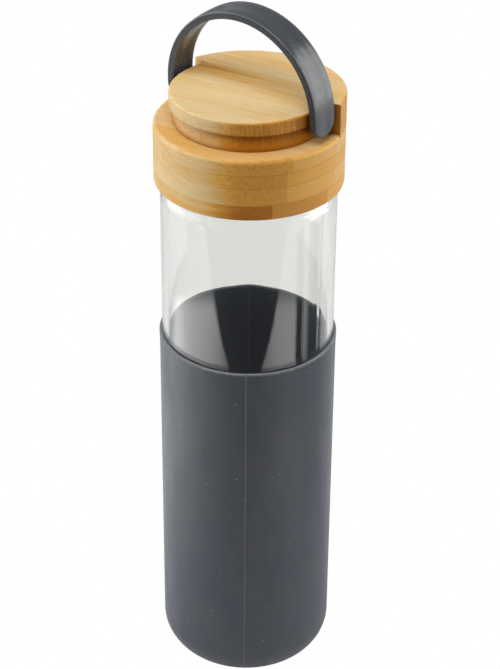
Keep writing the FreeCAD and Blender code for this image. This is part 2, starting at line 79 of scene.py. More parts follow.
# ---------------------------------------------------------------- node helpers
class Graph:
    """A node tree. Its methods add nodes, wire them in one call and give the result."""

    def __init__(self, tree):
        self.tree = tree
        tree.nodes.clear()

    def put(self, socket, value):
        if isinstance(value, bpy.types.NodeSocket):
            self.tree.links.new(value, socket)
        elif value is not None:
            socket.default_value = value

    def node(self, kind, inputs=None, **settings):
        made = self.tree.nodes.new(kind)
        for key, value in settings.items():
            setattr(made, key, value)
        for key, value in (inputs or {}).items():
            self.put(made.inputs[key], value)
        return made

    def math(self, operation, a, b=None, c=None):
        made = self.node("ShaderNodeMath", operation=operation)
        for socket, value in zip(made.inputs, (a, b, c)):
            self.put(socket, value)
        return made.outputs[0]

    def times(self, a, b):
        return self.math("MULTIPLY", a, b)

    def plus(self, a, b):
        return self.math("ADD", a, b)

    def minus(self, a, b):
        return self.math("SUBTRACT", a, b)

    def most(self, a, b):
        return self.math("MAXIMUM", a, b)

    def smooth(self, value, low, high, out_low=0.0, out_high=1.0):
        """An even S-shaped change from out_low to out_high as value goes from low to high."""
        made = self.node("ShaderNodeMapRange", interpolation_type="SMOOTHSTEP", inputs={
            "Value": value, "From Min": low, "From Max": high,
            "To Min": out_low, "To Max": out_high})
        return made.outputs["Result"]

    def mix(self, factor, a, b):
        made = self.node("ShaderNodeMix", data_type="RGBA")
        for index, value in zip((0, 6, 7), (factor, a, b)):
            self.put(made.inputs[index], value)
        return made.outputs[2]

    def mix_value(self, factor, a, b):
        made = self.node("ShaderNodeMix", data_type="FLOAT")
        for index, value in zip((0, 2, 3), (factor, a, b)):
            self.put(made.inputs[index], value)
        return made.outputs[0]

    def scaled(self, vector, scale):
        made = self.node("ShaderNodeMapping", vector_type="POINT",
                         inputs={"Vector": vector, "Scale": scale})
        return made.outputs[0]

    def noise(self, vector, scale, detail=3.0, roughness=0.5):
        made = self.node("ShaderNodeTexNoise", inputs={
            "Vector": vector, "Scale": scale, "Detail": detail, "Roughness": roughness})
        return made.outputs["Fac"]

    def voronoi(self, vector, scale, output="Distance"):
        made = self.node("ShaderNodeTexVoronoi", inputs={"Vector": vector, "Scale": scale})
        return made.outputs[output]

    def ramp(self, factor, stops, interpolation="LINEAR"):
        made = self.node("ShaderNodeValToRGB", inputs={"Fac": factor})
        band = made.color_ramp
        band.interpolation = interpolation
        while len(band.elements) > 1:
            band.elements.remove(band.elements[-1])
        band.elements[0].position, band.elements[0].color = stops[0]
        for place, colour in stops[1:]:
            band.elements.new(place).color = colour
        return made.outputs["Color"]

    def dot(self, vector, axis):
        made = self.node("ShaderNodeVectorMath", operation="DOT_PRODUCT",
                         inputs={0: vector, 1: tuple(axis)})
        return made.outputs["Value"]

    def length(self, vector):
        made = self.node("ShaderNodeVectorMath", operation="LENGTH", inputs={0: vector})
        return made.outputs["Value"]

    def bump(self, height, distance, strength=1.0, normal=None):
        made = self.node("ShaderNodeBump", inputs={
            "Height": height, "Distance": distance, "Strength": strength, "Normal": normal})
        return made.outputs[0]


def grey(value):
    return (value, value, value, 1)


def new_material(name):
    material = bpy.data.materials.new(name)
    material.use_nodes = True
    return material, Graph(material.node_tree)


def close_material(graph, surface):
    graph.node("ShaderNodeOutputMaterial", {"Surface": surface})


def object_millimetres(graph):
    """The piece's own coordinates in millimetres, so that scales are real sizes."""
    coordinates = graph.node("ShaderNodeTexCoord").outputs["Object"]
    return graph.scaled(coordinates, (1 / MM, 1 / MM, 1 / MM))


def surface_normal(graph):
    return graph.node("ShaderNodeNewGeometry").outputs["Normal"]


def goes_straight(graph, path):
    """1 for rays that reach this spot from the camera directly or through clear glass."""
    bounced = graph.plus(path.outputs["Glossy Depth"], path.outputs["Diffuse Depth"])
    return graph.math("LESS_THAN", bounced, 0.5)


# ---------------------------------------------------------------- bamboo
GRAIN_TURN = 7.5     # degrees between the fibres and the strap's pivot axis
STRIP_WIDTH = 21.0   # millimetres, as are the wood's other sizes
LAYER_TOPS = (220.5, 227.2, 232.3, 238.2, 245.0)  # the glued layers but the topmost
CARVED_FROM = LAYER_TOPS[3]    # the disc, its neck and the step's walls lie above this
WALL_SHADE_STARTS = (29.6, 30.2)  # radii over which the shade on those walls comes in
WALL_SHADE_ENDS = (34.9, 35.1)    # and goes out
STREAK_AND_SHADOW_MIDDLE = 9.5    # the top's brown band along the grain, partly grain and partly the strap's painted shadow, behind the lid's middle
# one value a layer, from the bottom up: how far its strips are shifted, in strip widths,
# and the tones of their long sides and of the cut ends of two strips near the camera
LAYER_SHIFTS = (1.235, 1.052, 1.045, 0.965, 0.30, 0.381)
LAYER_TONES = (0.54, 0.67, 0.63, 0.69, 0.56, 0.52)
FRONT_STRIP_TONES = (0.0, 0.42, 0.36, 0.42, 0.16, 0.27)
NEXT_STRIP_TONES = (0.30, 0.53, 0.49, 0.58, 0.24, 0.32)
# noise scales a millimetre: along the fibres, across them and upwards
STREAKS = (0.016, 0.45, 0.60)
HAIRS = (0.045, 2.4, 2.4)
CLOUDS = (0.014, 0.07, 0.11)
RAYS = (0.022, 0.9, 0.9)
RIBS = (3.4, 3.4, 0.12)
FIBRE_BUNDLES = (0.25, 1.7, 1.7)
DEEP = (0.450, 0.142, 0.008, 1)    # tone 0
HONEY = (0.710, 0.365, 0.058, 1)   # tone 0.5
PALE = (0.725, 0.540, 0.272, 1)    # tone 1
CUT_FIBRE = (0.27, 0.10, 0.016, 1)
HAIR = (0.42, 0.21, 0.06, 1)
GLUE_LINE = (0.40, 0.15, 0.02, 1)
# painted shade on the step's walls, in hollows and in narrow gaps, and painted warm bounce light
# on the ledge
STEP_SHADE = (0.36, 0.115, 0.006, 1)
HOLLOW_SHADE = (0.66, 0.230, 0.004, 1)
NARROW_GAP_SHADE = (0.20, 0.060, 0.004, 1)
LEDGE_WARM_BOUNCE = (0.70, 0.36, 0.055, 1)


def wood_frame(g):
    """Millimetres with X along the fibres, how squarely a face cuts them, and how it faces up."""
    turn = math.radians(GRAIN_TURN)
    turned = g.node("ShaderNodeMapping", vector_type="POINT", inputs={
        "Vector": object_millimetres(g), "Rotation": (0, 0, -turn)}).outputs[0]
    normal = g.node("ShaderNodeVectorTransform", vector_type="NORMAL",
                    convert_from="WORLD", convert_to="OBJECT",
                    inputs={"Vector": surface_normal(g)}).outputs[0]
    along = g.dot(normal, (math.cos(turn), math.sin(turn), 0))
    end_grain = g.most(g.smooth(along, -0.04, 0.42), g.smooth(along, -0.98, -0.55, 0.5, 0.0))
    return turned, end_grain, g.dot(normal, UP)


def by_layer(g, height_share, bottom, height, values):
    """A number that steps from one glued layer to the next. Ramps hold half of it."""
    steps = [0.0] + [(top - bottom) / height for top in LAYER_TOPS]
    stops = [(place, grey(value / 2)) for place, value in zip(steps, values)]
    return g.times(g.ramp(height_share, stops, "CONSTANT"), 2.0)


def glue_lines(g, place, up):
    """1 on the glue between two layers, about half that between two strips, 0 elsewhere."""
    inside = g.math("FRACT", place)
    to_edge = g.math("MINIMUM", inside, g.minus(1.0, inside))
    glue = g.smooth(to_edge, 0.0, 0.012, 0.45, 0.0)
    for top in LAYER_TOPS:
        gap = g.math("ABSOLUTE", g.minus(up, top))
        glue = g.most(glue, g.smooth(gap, 0.05, 0.30, 1.0, 0.0))
    return glue


def wood_strips(g, turned):
    """The lid's glued strips: their tones, a seed for each, glue lines and freckling."""
    low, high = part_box("bamboo_lid")
    bottom, height = low.z / MM, (high.z - low.z) / MM
    split = g.node("ShaderNodeSeparateXYZ", {"Vector": turned})
    across, up = split.outputs["Y"], split.outputs["Z"]
    share = g.math("DIVIDE", g.minus(up, bottom), height)
    shift, long_sides, front_ends, next_ends = (
        by_layer(g, share, bottom, height, values)
        for values in (LAYER_SHIFTS, LAYER_TONES, FRONT_STRIP_TONES, NEXT_STRIP_TONES))
    place = g.plus(g.math("DIVIDE", across, STRIP_WIDTH), shift)
    strip = g.math("FLOOR", place)
    seed = g.node("ShaderNodeCombineXYZ", {"X": strip, "Y": shift}).outputs[0]
    chance = g.node("ShaderNodeTexWhiteNoise", {"Vector": seed},
                    noise_dimensions="3D").outputs["Value"]
    is_front = g.math("LESS_THAN", strip, -0.5)
    is_next = g.math("COMPARE", strip, 0.0, 0.5)
    end_tone = g.mix_value(is_next, g.smooth(chance, 0.0, 1.0, 0.35, 0.75), next_ends)
    return {"end_tone": g.mix_value(is_front, end_tone, front_ends),
            "side_tone": g.plus(long_sides, g.smooth(chance, 0.0, 1.0, 0.18, 0.38)),
            "seed": seed,
            "glue": glue_lines(g, place, up),
            "freckled": g.minus(1.0, g.times(is_next, 0.75)),
            "carved": g.math("GREATER_THAN", up, CARVED_FROM)}


def wood_patterns(g, turned, strips):
    """The patterns in the wood. Each strip has its own, but for the turning marks, the ribs."""
    solid = g.node("ShaderNodeVectorMath", operation="ADD", inputs={
        0: turned, 1: g.scaled(strips["seed"], (31.0, 17.0, 0.0))}).outputs[0]
    bundles = g.voronoi(g.scaled(solid, FIBRE_BUNDLES), 1.0)
    return {"streaks": g.noise(g.scaled(solid, STREAKS), 1.0, 5.0, 0.62),
            "hairs": g.noise(g.scaled(solid, HAIRS), 1.0, 3.0, 0.6),
            "clouds": g.noise(g.scaled(solid, CLOUDS), 1.0, 2.0, 0.5),
            "rays": g.noise(g.scaled(solid, RAYS), 1.0, 3.0, 0.6),
            "ribs": g.noise(g.scaled(turned, RIBS), 1.0, 2.0, 0.5),
            "dots": g.smooth(bundles, 0.15, 0.50, 1.0, 0.0)}


def step_walls(g, turned, strips):
    """How much painted shade falls on the walls at the step's ends, the right one most, as they
    face at rest.
    """
    spread = g.length(g.scaled(turned, (1, 1, 0)))
    past_disc = g.smooth(spread, *WALL_SHADE_STARTS)
    within_lid = g.smooth(spread, *WALL_SHADE_ENDS, 1.0, 0.0)
    forward = g.smooth(g.dot(surface_normal(g), (0, -1, 0)), 0.80, 0.92)
    right = g.smooth(g.dot(turned, (1, 0, 0)), -5, 5, 0.15, 0.80)
    wall = g.times(g.times(forward, strips["carved"]), right)
    return g.times(wall, g.times(past_disc, within_lid))


def top_shade_and_streak(g, turned):
    """Painted shade that darkens the top's back strips, and a brown band from the left notch that
    is partly grain and partly the painted shadow of the strap's left leg.
    """
    split = g.node("ShaderNodeSeparateXYZ", {"Vector": turned})
    along, across = split.outputs["X"], split.outputs["Y"]
    back_shade = g.smooth(across, -14, 12, 0.10, -0.14)
    from_streak_and_shadow = g.math("ABSOLUTE", g.minus(across, STREAK_AND_SHADOW_MIDDLE))
    streak_and_shadow = g.times(g.smooth(from_streak_and_shadow, 0.0, 4.5, -0.34, 0.0),
                     g.smooth(along, -30, 6, 1.0, 0.25))
    return g.plus(back_shade, streak_and_shadow)


def wood_tone(g, end_grain, strips, patterns):
    """Each strip's own tone, with the grain on its sides and turning marks on its ends."""
    tone = g.mix_value(end_grain, strips["side_tone"], strips["end_tone"])
    grain = g.plus(g.smooth(patterns["streaks"], 0.34, 0.66, -0.14, 0.14),
                   g.smooth(patterns["clouds"], 0.35, 0.65, -0.10, 0.10))
    grain = g.plus(grain, g.times(strips["carved"],
                                  g.smooth(patterns["rays"], 0.50, 0.72, 0.06, -0.24)))
    tone = g.plus(tone, g.times(grain, g.minus(1.0, g.times(end_grain, 0.8))))
    rib_share = g.times(g.times(strips["carved"], end_grain), 0.5)
    return g.plus(tone, g.times(rib_share,
                                g.smooth(patterns["ribs"], 0.36, 0.64, -0.32, 0.26)))


def closed_in(g, reach, low, high, full):
    """From full, where things within reach millimetres hide a spot, down to 0 in the open."""
    seen = g.node("ShaderNodeAmbientOcclusion", samples=8,
                  inputs={"Distance": reach * MM}).outputs["AO"]
    return g.smooth(seen, low, high, full, 0.0)


def wood_marks(g, body, end_grain, strips, patterns):
    """The wood's colour with cut fibres, hairlines and glue lines laid over it."""
    freckles = g.plus(g.times(strips["freckled"], g.times(end_grain, 0.36)), 0.04)
    body = g.mix(g.times(patterns["dots"], freckles), body, CUT_FIBRE)
    body = g.mix(g.smooth(patterns["hairs"], 0.48, 0.72, 0.0, 0.24), body, HAIR)
    glued = g.times(strips["glue"], g.smooth(end_grain, 0.0, 1.0, 0.13, 0.42))
    return g.mix(glued, body, GLUE_LINE)


def wood_relief(g, strips, patterns):
    """Raised hairlines, and slight dips at cut fibres and glue lines."""
    relief = g.minus(g.times(patterns["hairs"], 0.6), g.times(patterns["dots"], 0.35))
    return g.minus(relief, g.times(strips["glue"], 0.5))


def bamboo_material():
    """Pressed bamboo: pale long grain, honey end grain dotted with cut fibres, with painted shade
    in its hollows, narrow gaps, step walls and on its top, and painted warm bounce light on its
    ledge.
    """
    material, g = new_material("laminated_bamboo")
    turned, end_grain, facing_up = wood_frame(g)
    strips = wood_strips(g, turned)
    patterns = wood_patterns(g, turned, strips)
    level = g.smooth(facing_up, 0.5, 0.9)
    on_ledge = g.times(level, g.minus(1.0, strips["carved"]))
    on_top = g.times(level, strips["carved"])

    tone = wood_tone(g, end_grain, strips, patterns)
    # painted warm bounce light from the neck: the ledge's tone is deepened here and turned more
    # golden below
    tone = g.minus(tone, g.times(on_ledge, 0.12))
    # painted shade on the top, and the strap's painted shadow in its brown band
    tone = g.plus(tone, g.times(on_top, top_shade_and_streak(g, turned)))
    body = g.ramp(tone, [(0.0, DEEP), (0.5, HONEY), (1.0, PALE)])
    body = wood_marks(g, body, end_grain, strips, patterns)

    # painted shade in hollows and under the disc, wherever ambient occlusion finds things near;
    # the wood's shine is taken away there too
    hollow_shade = g.times(closed_in(g, 14, 0.30, 0.94, 0.97),
                        g.smooth(facing_up, 0.2, 0.8, 1.0, 0.12))
    hollow_shade = g.times(hollow_shade, g.smooth(end_grain, 0.0, 1.0, 0.45, 1.0))
    body = g.mix(hollow_shade, body, HOLLOW_SHADE)
    # painted shade on the step's walls beside the strap's legs
    body = g.mix(step_walls(g, turned, strips), body, STEP_SHADE)
    # darker painted shade in the narrowest gaps, beside the strap and just under the disc
    gap_shade = g.times(closed_in(g, 5, 0.42, 0.78, 0.90),
                      g.smooth(facing_up, 0.2, 0.8, 1.0, 0.0))
    body = g.mix(gap_shade, body, NARROW_GAP_SHADE)
    # the ledge's painted warm bounce light
    body = g.mix(g.times(on_ledge, 0.15), body, LEDGE_WARM_BOUNCE)

    surface = g.node("ShaderNodeBsdfPrincipled", {
        "Base Color": body, "Roughness": g.smooth(patterns["streaks"], 0.3, 0.7, 0.46, 0.58),
        "Specular IOR Level": g.mix_value(hollow_shade, 0.37, 0.0),
        "Normal": g.bump(wood_relief(g, strips, patterns), 0.03 * MM)})
    close_material(g, surface.outputs[0])
    return material


# ---------------------------------------------------------------- silicone and plastics
SILICONE_DARK = (0.0355, 0.0420, 0.0580, 1)
SILICONE_LIGHT = (0.0440, 0.0490, 0.0630, 1)
SMEAR = (0.085, 0.088, 0.098, 1)
SCUFF = (0.11, 0.112, 0.12, 1)
# painted highlights along the rim and on the seam's crest, and painted shade at the seam's feet
RIM_HIGHLIGHT = (0.19, 0.195, 0.205, 1)
SEAM_FOOT_SHADE = (0.018, 0.019, 0.023, 1)
SEAM_CREST_HIGHLIGHT = (0.13, 0.132, 0.14, 1)
DUST = (0.45, 0.44, 0.42, 1)
SHEEN = (0.86, 0.92, 1.0, 1)
STRAP_LEAN = 2.0          # degrees to the front, as the strap rests
STRAP_ENDS = (244, 252)   # heights, in millimetres, over which the painted highlight on its edges comes in
STRAP_DARK = (0.032, 0.037, 0.044, 1)
STRAP_LIGHT = (0.042, 0.048, 0.056, 1)
STRAP_HANDLED = (0.11, 0.112, 0.118, 1)
# a painted dark reflection along the strap's middle and painted highlights on its edges
STRAP_MIDDLE_SHADE = (0.022, 0.024, 0.028, 1)
STRAP_EDGE_HIGHLIGHT = (0.165, 0.170, 0.178, 1)


def specks(g, place, density, size, share):
    """Scattered grains of dust: 1 on a grain, 0 elsewhere."""
    grain = g.smooth(g.voronoi(place, density), size * density, size * density * 1.6, 1.0, 0.0)
    picked = g.voronoi(place, density, output="Color")
    chance = g.node("ShaderNodeSeparateColor", {"Color": picked}).outputs["Red"]
    return g.times(grain, g.math("LESS_THAN", chance, share))


def sleeve_dust(g, place, below_rim):
    """Two sizes of dust all over, and crumbs along the trimmed rim."""
    dust = g.most(specks(g, place, 0.21, 0.16, 0.6),
                  g.times(specks(g, place, 0.40, 0.11, 0.6), 0.7))
    crumbs = g.times(specks(g, place, 0.9, 0.20, 0.30), g.smooth(below_rim, 0.4, 1.6, 0.8, 0.0))
    return g.most(dust, crumbs)


def silicone_material():
    """Matt blue-grey silicone with a painted highlight along its rim, a parting line with a
    painted highlight on its crest and painted shade at its feet, scuffs and dust.
    """
    material, g = new_material("sleeve_silicone")
    place = object_millimetres(g)
    mottle = g.noise(place, 0.05, 3.0, 0.55)
    fine = g.noise(place, 5.0, 4.0, 0.7)
    smear = g.noise(g.scaled(place, (0.13, 0.13, 0.04)), 1.0, 4.0, 0.62)
    scuff = g.noise(g.scaled(place, (0.5, 0.5, 0.22)), 1.0, 5.0, 0.7)
    below_rim = g.node("ShaderNodeAttribute", attribute_name="below_rim").outputs["Fac"]
    from_seam = g.math("ABSOLUTE", g.dot(place, round_from_camera(90 + SEAM_TURN)))

    colour = g.mix(g.smooth(mottle, 0.3, 0.7), SILICONE_DARK, SILICONE_LIGHT)
    colour = g.mix(g.smooth(smear, 0.56, 0.80, 0.0, 0.16), colour, SMEAR)
    colour = g.mix(g.smooth(scuff, 0.62, 0.78, 0.0, 0.22), colour, SCUFF)
    # painted highlight along the rim
    colour = g.mix(g.smooth(below_rim, 0.45, 0.95, 0.60, 0.0), colour, RIM_HIGHLIGHT)
    # painted shade at the seam's feet and a painted highlight on its crest
    colour = g.mix(g.smooth(from_seam, 0.25, 0.75, 0.18, 0.0), colour, SEAM_FOOT_SHADE)
    colour = g.mix(g.smooth(from_seam, 0.10, 0.24, 0.5, 0.0), colour, SEAM_CREST_HIGHLIGHT)
    colour = g.mix(g.times(sleeve_dust(g, place, below_rim), 0.75), colour, DUST)
    surface = g.node("ShaderNodeBsdfPrincipled", {
        "Base Color": colour, "Roughness": g.smooth(smear, 0.35, 0.7, 0.46, 0.56),
        "Specular IOR Level": 0.5, "Sheen Weight": 0.17, "Sheen Roughness": 0.45,
        "Sheen Tint": SHEEN, "Normal": g.bump(fine, 0.012 * MM)})
    close_material(g, surface.outputs[0])
    return material


def strap_across(g, place):
    """Distance across the strap's width from its middle, in millimetres."""
    pivot = pivot_height() / MM
    lean = math.radians(STRAP_LEAN)
    tilted = g.dot(place, (0, math.cos(lean), math.sin(lean)))
    return g.minus(tilted, pivot * math.sin(lean))


def strap_edge_highlights(g, place):
    """Where a highlight is painted: 1 on the strap's rounded edges, above its two ends, as they
    face at rest.
    """
    facing = g.math("ABSOLUTE", g.dot(surface_normal(g), (0, 1, 0)))
    rounded = g.times(g.smooth(facing, 0.20, 0.45), g.smooth(facing, 0.70, 0.92, 1.0, 0.0))
    return g.times(rounded, g.smooth(g.dot(place, UP), *STRAP_ENDS))


def strap_material():
    """Moulded strap: satin, with a shallow sink along its middle, a painted dark reflection along
    that middle, painted highlights on its rounded edges and faint flow marks.
    """
    material, g = new_material("strap_plastic")
    place = object_millimetres(g)
    side = g.math("ABSOLUTE", strap_across(g, place))
    flow = g.noise(g.scaled(place, (0.08, 0.5, 0.08)), 1.0, 4.0, 0.6)
    fine = g.noise(place, 4.0, 3.0, 0.65)
    handled = g.noise(place, 0.35, 4.0, 0.65)
    colour = g.mix(g.smooth(flow, 0.3, 0.7), STRAP_DARK, STRAP_LIGHT)
    colour = g.mix(g.smooth(handled, 0.60, 0.80, 0.0, 0.20), colour, STRAP_HANDLED)
    # painted dark reflection along the middle of the sink
    colour = g.mix(g.smooth(side, 0.0, 0.55, 0.35, 0.0), colour, STRAP_MIDDLE_SHADE)
    # painted highlights on the rounded edges
    colour = g.mix(g.times(strap_edge_highlights(g, place), 0.75), colour, STRAP_EDGE_HIGHLIGHT)
    sink = g.bump(g.smooth(side, 0.2, 4.4), 0.30 * MM)
    surface = g.node("ShaderNodeBsdfPrincipled", {
        "Base Color": colour, "Roughness": g.smooth(handled, 0.35, 0.7, 0.21, 0.31),
        "Specular IOR Level": 0.5, "Normal": g.bump(fine, 0.004 * MM, normal=sink)})
    close_material(g, surface.outputs[0])
    return material


def moulded_material(name, colour, roughness):
    """Moulded plastic: slight mottle and a fine grain."""
    material, g = new_material(name)
    place = object_millimetres(g)
    flow = g.noise(g.scaled(place, (0.10, 0.25, 0.25)), 1.0, 3.0, 0.6)
    lighter = (*(c * 1.25 + 0.004 for c in colour), 1)
    surface = g.node("ShaderNodeBsdfPrincipled", {
        "Base Color": g.mix(g.smooth(flow, 0.3, 0.7), (*colour, 1), lighter),
        "Roughness": g.smooth(flow, 0.3, 0.7, roughness - 0.04, roughness + 0.05),
        "Normal": g.bump(g.noise(place, 4.0, 3.0, 0.65), 0.01 * MM)})
    close_material(g, surface.outputs[0])
    return material


def translucent_material(name, colour, roughness):
    """Milky polypropylene or silicone that lets some light through."""
    material, g = new_material(name)
    place = object_millimetres(g)
    cloudy = g.noise(place, 0.3, 3.0, 0.6)
    darker = (*(c * 0.93 for c in colour), 1)
    tint = g.mix(g.smooth(cloudy, 0.3, 0.7), (*colour, 1), darker)
    surface = g.node("ShaderNodeBsdfPrincipled", {
        "Base Color": tint, "Roughness": roughness, "Subsurface Weight": 0.4,
        "Subsurface Radius": (1.0, 1.0, 1.0), "Subsurface Scale": 1.5 * MM,
        "Normal": g.bump(g.noise(place, 3.0), 0.01 * MM)})
    close_material(g, surface.outputs[0])
    return material


def steel_material():
    """Turned stainless steel, with rings round the pivot axis."""
    material, g = new_material("turned_steel")
    place = object_millimetres(g)
    rings = g.noise(g.scaled(place, (14.0, 0.6, 0.6)), 1.0, 2.0, 0.5)
    surface = g.node("ShaderNodeBsdfPrincipled", {
        "Base Color": g.mix(rings, (0.50, 0.50, 0.51, 1), (0.66, 0.66, 0.65, 1)),
        "Metallic": 1.0, "Roughness": g.smooth(rings, 0.3, 0.7, 0.22, 0.36),
        "Normal": g.bump(rings, 0.01 * MM)})
    close_material(g, surface.outputs[0])
    return material


GLASS_TINT = (0.995, 0.998, 0.985, 1)
GLASS_SHADOW = (0.93, 0.94, 0.93, 1)
GLASS_HAZE = (0.75, 0.78, 0.85, 1)
GLASS_INDEX = 1.473    # borosilicate


def glass_material():
    """Clear borosilicate: a trace of tint and haze, and slow waviness from blowing."""
    material, g = new_material("clear_glass")
    place = object_millimetres(g)
    wave = g.noise(g.scaled(place, (0.04, 0.04, 0.018)), 1.0, 2.0, 0.4)
    faint = g.smooth(g.noise(place, 0.8, 3.0, 0.7), 0.55, 0.8, 0.0, 0.035)
    surface = g.node("ShaderNodeBsdfPrincipled", {
        "Base Color": GLASS_TINT, "Roughness": faint, "IOR": GLASS_INDEX,
        "Transmission Weight": 1.0, "Normal": g.bump(wave, 0.02 * MM, 0.5)})
    haze = g.node("ShaderNodeBsdfDiffuse", {"Color": GLASS_HAZE})
    hazed = g.node("ShaderNodeMixShader", {0: 0.004, 1: surface.outputs[0], 2: haze.outputs[0]})
    clear = g.node("ShaderNodeBsdfTransparent", {"Color": GLASS_SHADOW})
    path = g.node("ShaderNodeLightPath")
    chosen = g.node("ShaderNodeMixShader", {
        0: path.outputs["Is Shadow Ray"], 1: hazed.outputs[0], 2: clear.outputs[0]})
    close_material(g, chosen.outputs[0])
    return material


# ---------------------------------------------------------------- the sleeve
SLEEVE_RADIUS = 34.0     # millimetres, as are all the sleeve's sizes
SLEEVE_CORNER = 14.1
SLEEVE_FLOOR = 2.0
SLEEVE_INSIDE = 33.05
SLEEVE_RIM = 149.2       # height of the rim before its rise, hump and ripple
RIM_FLARE = 0.14
FLARE_DEPTH = 5.0
RIM_ROUND = 0.5
BACK_HUMP = 0.5
HUMP_REACH = 16          # degrees
FOOT_RECESS = (13.5, 0.5)  # radius and depth
SMALL_ROUND = 0.2
RIM_LEAD_IN = 0.05       # how much wider the sleeve's mouth is than its inside
SEAM_TURN = -0.85        # degrees round from the side that faces the camera
SEAM_PROUD = 0.14
SEAM_HALF_WIDTH = 0.28
SEAM_STEP = 0.07         # between the columns of points that draw the seam
SEAM_STEPS = 6           # on each side of its crest


def arc(centre, radius, start, end, steps):
    """Points round a corner, from start to end degrees above the outward direction."""
    turns = [math.radians(start + (end - start) * i / steps) for i in range(steps + 1)]
    return [(centre[0] + radius * math.cos(t), centre[1] + radius * math.sin(t))
            for t in turns]


def ease(share):
    share = min(max(share, 0.0), 1.0)
    return share * share * (3 - 2 * share)


def rim_height(turn):
    """The trimmed rim dips at the front and rises at the back, most of all at the seam."""
    t = math.radians(turn)
    slow = 0.53 - 0.27 * math.cos(t) - 0.20 * math.sin(t) - 0.19 * math.cos(2 * t)
    from_back = abs((turn % 360) - 180)
    hump = BACK_HUMP * (1 - ease(from_back / HUMP_REACH))
    ripple = 0.04 * math.sin(7 * t + 1.0) + 0.03 * math.sin(17 * t)
    return SLEEVE_RIM + slow + hump + ripple


def sleeve_side(rim):
    """Up the outside from the rounded foot, in steps that get shorter towards the flared rim."""
    steps, crowding = 24, 1.6
    top = rim - RIM_ROUND
    points = []
    for step in range(1, steps + 1):
        up = SLEEVE_CORNER + (top - SLEEVE_CORNER) * (1 - (1 - step / steps) ** crowding)
        flare = RIM_FLARE * ease(1 - (top - up) / FLARE_DEPTH)
        points.append((SLEEVE_RADIUS + flare, up))
    return points


def sleeve_outline(turn):
    """Half section from the middle of the foot, up the outside and down the inside."""
    rim = rim_height(turn)
    recess_radius, recess = FOOT_RECESS
    middle = SLEEVE_RADIUS - SLEEVE_CORNER
    points = [(0, recess), (recess_radius * 0.6, recess), (recess_radius, recess)]
    points += arc((recess_radius + SMALL_ROUND, SMALL_ROUND), SMALL_ROUND, 180, 270, 3)
    points += arc((middle, SLEEVE_CORNER), SLEEVE_CORNER, -90, 0, 28)
    points += sleeve_side(rim)
    outside, mouth = SLEEVE_RADIUS + RIM_FLARE, SLEEVE_INSIDE + RIM_LEAD_IN
    points += arc((outside - RIM_ROUND, rim - RIM_ROUND), RIM_ROUND, 15, 90, 5)
    points += arc((mouth + SMALL_ROUND, rim - SMALL_ROUND), SMALL_ROUND, 90, 180, 3)
    inner_corner = SLEEVE_INSIDE - middle
    points += [(SLEEVE_INSIDE, up) for up in (rim - 1.5, rim - 40, 60)]
    points += arc((middle, SLEEVE_FLOOR + inner_corner), inner_corner, 0, -90, 16)
    points += [(middle * 0.5, SLEEVE_FLOOR), (0, SLEEVE_FLOOR)]
    return points


def seam_columns():
    """Turns from the front seam at which the sleeve has a column of points."""
    fine = [math.degrees(step * SEAM_STEP / SLEEVE_RADIUS)
            for step in range(-SEAM_STEPS, SEAM_STEPS + 1)]
    columns = [float(turn) for turn in range(1, 360) if turn != 180]
    return sorted(columns + [turn % 360 for turn in fine] + [180 + turn for turn in fine])


def seam_rise(turn, radius, up):
    """How proud the mould seam stands here; it fades out under the base."""
    from_seam = math.radians(abs((turn + 90) % 180 - 90)) * SLEEVE_RADIUS
    if radius < SLEEVE_INSIDE - SLEEVE_CORNER or from_seam > SEAM_HALF_WIDTH:
        return 0.0
    ridge = math.cos(math.pi / 2 * from_seam / SEAM_HALF_WIDTH) ** 2
    return SEAM_PROUD * ridge * ease((up - 1.8) / 2.0)


def outward(points, i):
    """Unit normal of the outline at one point, pointing out of the silicone."""
    before, after = points[max(i - 1, 0)], points[min(i + 1, len(points) - 1)]
    run, rise = after[0] - before[0], after[1] - before[1]
    length = math.hypot(run, rise) or 1.0
    return rise / length, -run / length


def sleeve_column(turn, direction):
    """One column of the sleeve's points, with how far each lies below the rim."""
    points = sleeve_outline(turn)
    rim_top = max(range(len(points)), key=lambda i: points[i][1])
    places, depths = [], []
    for i, (radius, up) in enumerate(points):
        if i <= rim_top:
            proud = seam_rise(turn, radius, up)
            side, lift = outward(points, i)
            radius, up = radius + side * proud, up + lift * proud
        places.append((direction * radius + UP * up) * MM)
        depths.append(rim_height(turn) - up)
    return places, depths


def new_object(name, vertices, faces, material):
    """A mesh object in the scene, made from points in metres."""
    mesh = bpy.data.meshes.new(name)
    mesh.from_pydata([tuple(v) for v in vertices], [], faces)
    mesh.materials.append(material)
    made = bpy.data.objects.new(name, mesh)
    bpy.context.scene.collection.objects.link(made)
    return made


def make_sleeve():
    """The boot as one closed skin, turned round the bottle's axis."""
    vertices, depths, faces = [], [], []
    turns = seam_columns()
    for turn in turns:
        column, below = sleeve_column(turn, round_from_camera(turn + SEAM_TURN))
        vertices += column
        depths += below
    rows = len(vertices) // len(turns)
    for c in range(len(turns)):
        here, there = c * rows, (c + 1) % len(turns) * rows
        faces += [(here + r, there + r, there + r + 1, here + r + 1) for r in range(rows - 1)]
    sleeve = new_object("sleeve_skin", vertices, faces, silicone_material())
    below_rim = sleeve.data.attributes.new("below_rim", "FLOAT", "POINT")
    below_rim.data.foreach_set("value", depths)
    clean_skin(sleeve.data)
    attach(sleeve, "bottle")
    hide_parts("silicone_sleeve")


